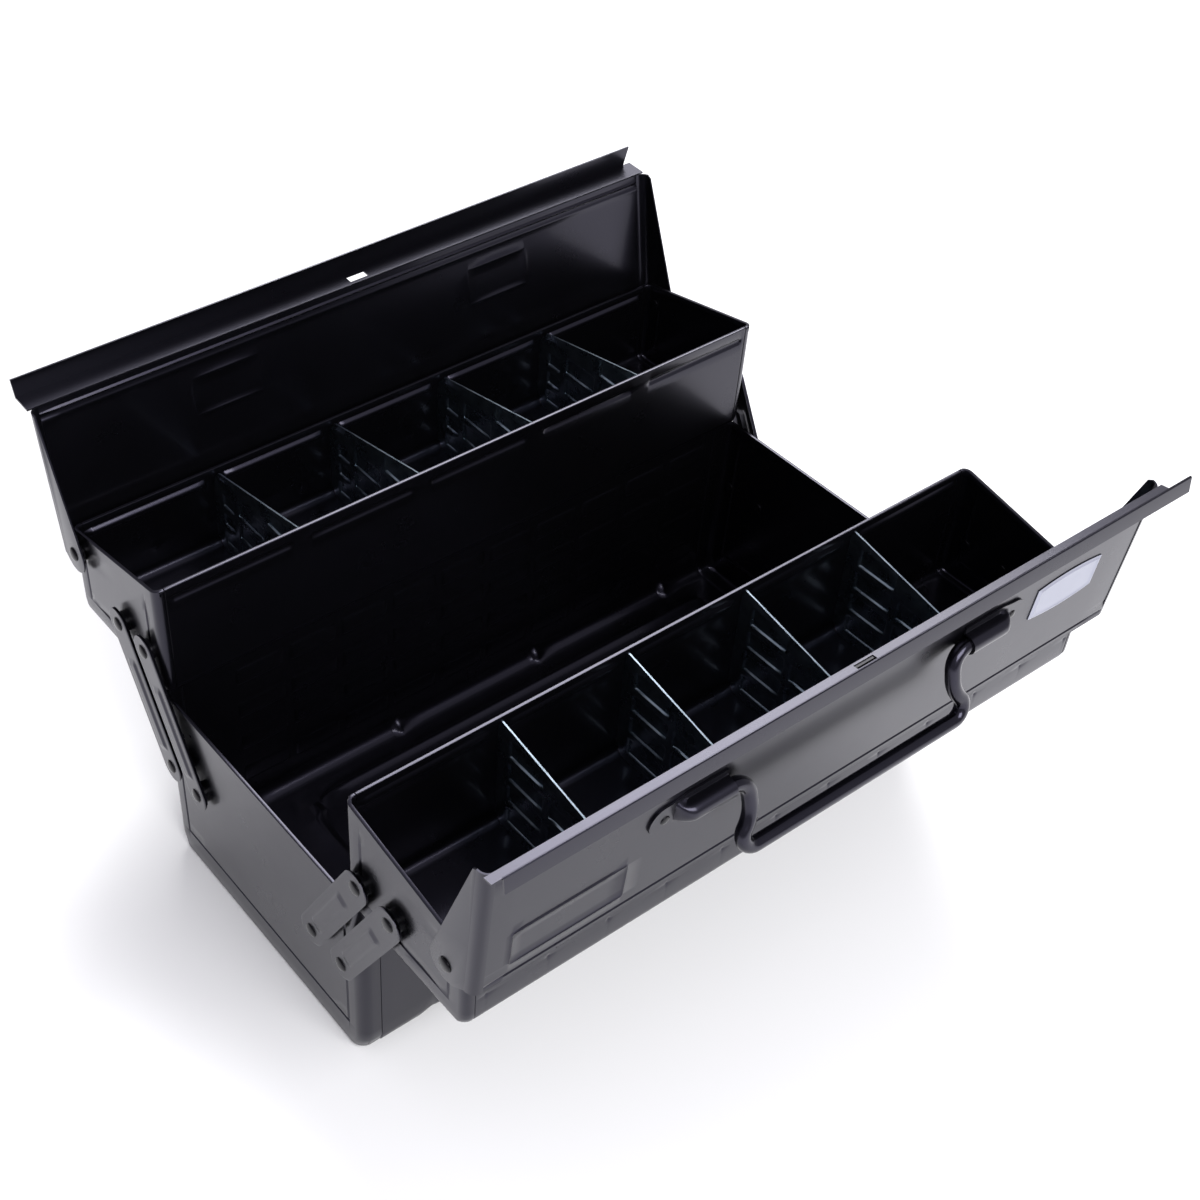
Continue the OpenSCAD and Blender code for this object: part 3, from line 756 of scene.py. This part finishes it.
def bent_run(points, x0, x1, ends=(0.0, 0.0)):
    """A sheet through (out, up) points, from x0 to x1, with a small parabola at each bend. ends is how
    much longer the last point's line is at each side, so that the end edges can slant."""
    points = np.array(points, float)
    fine = [points[0]]
    for a, b, c in zip(points[:-2], points[1:-1], points[2:]):
        near = min(1.2, np.linalg.norm(b - a) / 2, np.linalg.norm(c - b) / 2)
        p, q = b + (a - b) / np.linalg.norm(a - b) * near, b + (c - b) / np.linalg.norm(c - b) * near
        fine += [(1 - t) ** 2 * p + 2 * t * (1 - t) * b + t * t * q for t in (0, 0.25, 0.5, 0.75, 1)]
    fine = np.array(fine + [points[-1]])
    xs = grid_lines(0, 1, 0.03)
    share = np.cumsum(np.concatenate([[0], np.linalg.norm(np.diff(fine, axis=0), axis=1)]))
    share /= share[-1]
    low = x0 - ends[0] * share
    high = x1 + ends[1] * share
    grid = np.zeros((len(xs), len(fine), 3))
    grid[..., 0] = low + xs[:, None] * (high - low)
    grid[..., 1], grid[..., 2] = fine[:, 0], fine[:, 1]
    return grid


def placed(parts, side):
    """Parts made on the rear side, mirrored to the front when asked."""
    return [(v * [1, side, 1], f) for v, f in parts]


SLOT_HALF = 5.2


def shelf_cells(side, start, slot):
    """A lid's shelf from fold to web as eight closed sheets round its padlock slot, the ninth left out.
    start and slot are distances from the fold."""
    fold, web = PROFILES[side]["fold"], PROFILES[side]["web"]
    depth = np.linalg.norm(web - fold)
    along = (web - fold) / depth
    across = [start, *slot, depth]
    lines = [-CHEEK_X, -SLOT_HALF, SLOT_HALF, CHEEK_X]
    cells = []
    for i, j in ((i, j) for i in range(3) for j in range(3) if (i, j) != (1, 1)):
        x = np.linspace(lines[i], lines[i + 1], 3 if i == 1 else 14)
        d = np.linspace(across[j], across[j + 1], 3)
        cell = np.zeros((len(x), len(d), 3))
        cell[..., 0] = x[:, None]
        cell[..., 1] = fold[0] + d * along[0]
        cell[..., 2] = fold[1] + d * along[1] + HALF_SHEET
        cells.append(sheet_solid(cell))
    return cells


def rear_lid_top():
    """The rear lid's shelf with its padlock slot, and the lip standing on it with flared ends."""
    web, lip = PROFILES[REAR]["web"], PROFILES[REAR]["lip"]
    outer = [HALF_SHEET, 0]
    grid = bent_run([web + [HALF_SHEET, -0.4], (web + lip) / 2 + outer, lip + outer], -CHEEK_X, 174.0,
                    ends=(1.2, 2.8))
    return shelf_cells(REAR, 0.0, (2.0, 6.7)) + [sheet_solid(grid[::-1])]


def front_lid_top():
    """The front lid's narrow shelf with its slot, and the turned-in skirt along the bottom."""
    up, outward, _ = panel_axes(FRONT)
    bottom = PROFILES[FRONT]["bottom"] + outward * HALF_SHEET
    skirt = bent_run([bottom + up * 0.8, bottom, bottom - outward * PROFILES[FRONT]["skirt"]],
                     -CHEEK_X + CORNER_R, CHEEK_X - CORNER_R)
    return shelf_cells(FRONT, -HALF_SHEET, (0.7, 3.4)) + [sheet_solid(skirt)]


make_piece("rear_half_lid", placed(lid_parts(REAR) + rear_lid_top(), REAR), "rear_lid", ["rear_lid"],
           ENAMEL)
make_piece("front_half_lid", placed(lid_parts(FRONT) + front_lid_top(), FRONT), "front_lid", ["front_lid"],
           ENAMEL)
strip_low, strip_high = box_mm("front_lid_edge_strip")
strip_shape = PROFILES[FRONT]
strip = bent_run([strip_shape["web"] + [-0.6, HALF_SHEET], strip_shape["web"] + [HALF_SHEET, HALF_SHEET],
                  strip_shape["lip"] + [HALF_SHEET, 0]], strip_low[0], strip_high[0])
make_piece("front_edge_strip", placed([sheet_solid(strip)], FRONT), "front_lid", ["front_lid_edge_strip"],
           ENAMEL)

# %% [markdown]
# The handle is a round rod bent in one plane: straight ends that turn in the clips, legs that
# draw in and then flare, and a long straight grip. The path is straights and arcs, and a circle
# is carried along it.

# %% Handles
ROD_R = 3.25
HANDLE_STAND = 20


def rod_path():
    """Points (x, down) of the whole rod: half of it by straights and arcs, and its mirror image."""
    steps = ((20.0, 8.0, -88.0), (3.6, 16.0, -42.0), (0.0, 6.0, 130.0))
    at, heading = np.array([84.0, 0.0]), 180.0
    points = [at]
    for run, radius, turn in steps:
        a = math.radians(heading)
        at = at + run * np.array([math.cos(a), math.sin(a)])
        swing = np.radians(heading + np.linspace(0, turn, 13))
        side = math.copysign(1, turn)
        arc = at + side * radius * np.stack([np.sin(swing) - math.sin(a), math.cos(a) - np.cos(swing)], -1)
        points += list(arc)
        at, heading = arc[-1], heading + turn
    half = np.array(points)
    keep = np.concatenate([[True], np.linalg.norm(np.diff(half, axis=0), axis=1) > 1e-6])
    half = half[keep]
    grip = np.stack([np.linspace(half[-1][0], -half[-1][0], 13)[1:-1], np.full(11, half[-1][1])], -1)
    return np.concatenate([half, grip, half[::-1] * [-1, 1]])


def rod_solid(side):
    """Circles of the rod's radius, each square to the path, with chamfered flat ends."""
    pivot = joint_mm(f"{'rear' if side == REAR else 'front'}_handle_swing")
    up, _, _ = panel_axes(side)
    hang = math.atan2(up[1], up[0]) + math.radians(HANDLE_STAND - 180)
    down = np.array([math.cos(hang), math.sin(hang)])
    lift = np.array([down[1], -down[0]])
    path = rod_path()
    tangent = np.gradient(path, axis=0)
    tangent /= np.linalg.norm(tangent, axis=1, keepdims=True)
    across = np.stack([-tangent[:, 1], tangent[:, 0]], -1)
    angle = np.linspace(0, 2 * np.pi, 24, endpoint=False)
    chamfer = 0.5
    radius = np.concatenate([[ROD_R - chamfer], np.full(len(path), ROD_R), [ROD_R - chamfer]])
    path = np.concatenate([path[:1], path[:1] + tangent[:1] * chamfer, path[1:-1],
                           path[-1:] - tangent[-1:] * chamfer, path[-1:]])
    across = np.concatenate([across[:1], across, across[-1:]])
    x = path[:, 0, None] + radius[:, None] * across[:, 0, None] * np.cos(angle)
    along = path[:, 1, None] + radius[:, None] * across[:, 1, None] * np.cos(angle)
    off = radius[:, None] * np.sin(angle)
    out = pivot[0] + along * down[0] + off * lift[0]
    height = pivot[1] + along * down[1] + off * lift[1]
    return ring_solid(np.stack([x, out, height], -1))


for side, name in SIDES:
    make_piece(f"{name}_bail_handle", placed([rod_solid(side)], side), f"{name}_handle", [f"{name}_handle"],
               ROD_ENAMEL)

# %% [markdown]
# A clip is a pressed plate riveted to the panel. Its sheet lies flat round the rivet and rises
# over the rod in a half-round tunnel with a closed, rounded outer end.

# %% Handle clips
def clip_grid(side, end):
    """Height field over the clip's outline. The half width follows a circle round the tip, and the height
    is the larger of the flat plate and a half circle over the rod, which falls as a quarter ellipse."""
    reach, tunnel_end, tip = 64.5, 83.5, 102.0
    x = np.unique(np.concatenate([np.linspace(reach, 84, 8), np.linspace(84, 92, 14), np.linspace(92, 97, 4),
                                  tip - 7.4 * (1 - np.sin(np.radians(np.linspace(0, 90, 12))))]))
    half = np.where(x < 88, 8.0, 8.0 - 0.6 * soft_step(x, 88, 94.6))
    half = np.minimum(half, np.sqrt(np.maximum(7.4 ** 2 - np.maximum(x - (tip - 7.4), 0) ** 2, 0.01)))
    notch = 2.0 * bead(x - 87.5, 5.0)
    k = np.concatenate([-np.linspace(1, 0.62, 5), np.linspace(-0.6, 0.6, 41), np.linspace(0.62, 1, 5)])
    centre = CLIP_UP - 1.5 * soft_step(x, 84, 94.6)
    s = centre[:, None] + (half[:, None] - np.where(k < 0, 1, 0)[None, :] * notch[:, None]) * k[None, :]
    rod = ROD_R + 0.3
    tube_r = ROD_R + 0.95
    fall = np.sqrt(np.maximum(1 - (np.maximum(x - tunnel_end, 0) / 6.5) ** 2, 0))[:, None]
    d = np.abs(s - CLIP_UP)
    wall = fall * (rod + np.sqrt(np.maximum(tube_r ** 2 - d ** 2, 0)))
    wall = wall * (1 - soft_step(d, tube_r - 0.15, tube_r + 0.75))
    height = np.maximum(wall, 1.0)
    up, outward, _ = panel_axes(side)
    origin = PROFILES[side]["bottom"] + outward * HALF_SHEET
    points = np.zeros(s.shape + (3,))
    points[..., 0] = x[:, None] * end
    points[..., 1] = origin[0] + s * up[0] + height * outward[0]
    points[..., 2] = origin[1] + s * up[1] + height * outward[1]
    points[..., 1] *= side
    return points[::-1] if end * side > 0 else points


def clip_rivet_solid(side, end):
    """A small dome on the clip's plate: rings of a flattened hemisphere square to the panel."""
    up, outward, _ = panel_axes(side)
    origin = PROFILES[side]["bottom"] + outward * HALF_SHEET + up * CLIP_RIVET[1]
    angle = np.linspace(0, 2 * np.pi, 20, endpoint=False)
    dome = np.radians(np.linspace(0, 82, 6))
    radius = np.concatenate([[2.2], 2.2 * np.cos(dome)])
    lift = np.concatenate([[0.9], 1.0 + 0.75 * np.sin(dome)])
    x = end * CLIP_RIVET[0] + radius[:, None] * np.cos(angle)
    s = radius[:, None] * np.sin(angle)
    points = np.stack([x, side * (origin[0] + s * up[0] + lift[:, None] * outward[0]),
                       origin[1] + s * up[1] + lift[:, None] * outward[1]], -1)
    return ring_solid(points)


for side, name in SIDES:
    for end, word in ((LEFT, "left"), (RIGHT, "right")):
        make_piece(f"{name}_{word}_clip_plate", [sheet_solid(clip_grid(side, end), 0.9)], f"{name}_lid",
                   [f"{name}_clip_{word}"], ENAMEL)
    heads = [clip_rivet_solid(side, end) for end in (LEFT, RIGHT)]
    make_piece(f"{name}_clip_rivet_set", heads, f"{name}_lid", [f"{name}_clip_rivets"],
               DARK_STEEL)

# %% [markdown]
# The badge is a small brushed aluminium plate with bulging long edges and a raised rim. It is
# left blank. The washers behind the arms keep their CAD shape and only take their finish here.

# %% Badge and washers
BADGE_AT = (131.0, 41.5)
BADGE_HALF = 20
BADGE_EDGE_R = 100.5


def badge_solid():
    """Height field over a barrel outline: half height 10.5 less the drop of a 100.5 mm circle."""
    up, outward, _ = panel_axes(FRONT)
    origin = PROFILES[FRONT]["bottom"] + outward * HALF_SHEET
    a = grid_lines(-BADGE_HALF, BADGE_HALF, 2, (-18.2, 18.2), 0.7)
    k = grid_lines(-1, 1, 0.1, (-0.84, 0.84), 0.06)
    half = np.sqrt(BADGE_EDGE_R ** 2 - a ** 2) - 90
    s = BADGE_AT[1] + half[:, None] * k[None, :]
    edge = np.minimum(BADGE_HALF - np.abs(a)[:, None], half[:, None] * (1 - np.abs(k))[None, :])
    height = 0.7 + 0.35 * bead(edge - 1.7, 0.9) - 0.3 * (1 - soft_step(edge, 0, 0.5))
    points = np.zeros(s.shape + (3,))
    points[..., 0] = BADGE_AT[0] + a[:, None]
    points[..., 1] = -(origin[0] + s * up[0] + height * outward[0])
    points[..., 2] = origin[1] + s * up[1] + height * outward[1]
    return sheet_solid(points, 0.65)


make_piece("blank_badge", [badge_solid()], "front_lid", ["badge_plate"], BADGE)
for node in ("body_spacers", "rear_tray_spacers", "front_tray_spacers"):
    washer = frame["nodes"][node]
    washer.data.materials.clear()
    washer.data.materials.append(DARK_STEEL)

# %% [markdown]
# The box stands on a pale floor in a white studio. A camera with a long lens looks down on the
# open trays from the front left corner.

# %% Floor, light and camera
def floor_material():
    material, _, shader = new_material("white_studio_floor")
    shader.inputs["Base Color"].default_value = linear("#f4f4f4")
    shader.inputs["Roughness"].default_value = 0.9
    shader.inputs["Specular IOR Level"].default_value = 0.1
    return material


FLOOR = 6.0
floor_mesh = bpy.data.meshes.new("studio_floor")
floor_mesh.from_pydata([(x * FLOOR, y * FLOOR, 0) for x, y in ((-1, -1), (1, -1), (1, 1), (-1, 1))], [],
                       [(0, 1, 2, 3)])
floor_mesh.materials.append(floor_material())
floor = bpy.data.objects.new("studio_floor", floor_mesh)
bpy.context.collection.objects.link(floor)

# The Standard view transform keeps the pale floor white instead of rolling it off to grey.
bpy.context.scene.view_settings.view_transform = "Standard"
world = bpy.data.worlds.new("studio")
bpy.context.scene.world = world
world.use_nodes = True
world.node_tree.nodes["Background"].inputs["Color"].default_value = linear("#f6f4ff")
world.node_tree.nodes["Background"].inputs["Strength"].default_value = 0.55


def stand(thing, right, up, back, place):
    """Puts a lamp or camera at place, with its own right, up and back directions."""
    columns = np.stack([right, up, back, place], axis=-1)
    thing.matrix_world = Matrix(np.vstack([columns, [0, 0, 0, 1]]).tolist())


def area_light(name, place, target, size, power):
    """A rectangular lamp at place, turned to face target. All in metres and watts."""
    data = bpy.data.lights.new(name, "AREA")
    data.shape = "RECTANGLE"
    data.size, data.size_y = size
    data.energy = power
    lamp = bpy.data.objects.new(name, data)
    bpy.context.collection.objects.link(lamp)
    way = np.array(target) - np.array(place)
    way /= np.linalg.norm(way)
    side = np.cross(way, [0, 0, 1.0])
    side /= np.linalg.norm(side)
    up = np.cross(side, way)
    stand(lamp, side, up, -way, place)


area_light("front_softbox", (-0.15, -1.2, 1.1), (-0.1, -0.6, 0.0), (1.1, 0.8), 26)
area_light("back_right_softbox", (0.95, 1.05, 1.7), (0, 0, 0.15), (1.1, 1.1), 44)

azimuth, elevation, roll = np.radians([-37.18, 44.70, 0.82])
level = np.array([-np.sin(azimuth), np.cos(azimuth), 0]) * np.cos(elevation)
forward = level - [0, 0, np.sin(elevation)]
right = np.cross(forward, [0, 0, 1.0])
right /= np.linalg.norm(right)
upward = np.cross(right, forward)
right, upward = (np.cos(roll) * right + np.sin(roll) * upward, np.cos(roll) * upward - np.sin(roll) * right)
eye = np.array([-0.4200, -0.4598, 0.6836])
camera_data = bpy.data.cameras.new("camera")
camera_data.sensor_width = 36.0
camera_data.lens = 54.17
camera_data.shift_x = 0.1267
camera_data.shift_y = 0.0665
camera = bpy.data.objects.new("camera", camera_data)
bpy.context.collection.objects.link(camera)
stand(camera, right, upward, -forward, eye)
bpy.context.scene.camera = camera
print("camera at", eye, "looking along", forward, "lens", camera_data.lens)
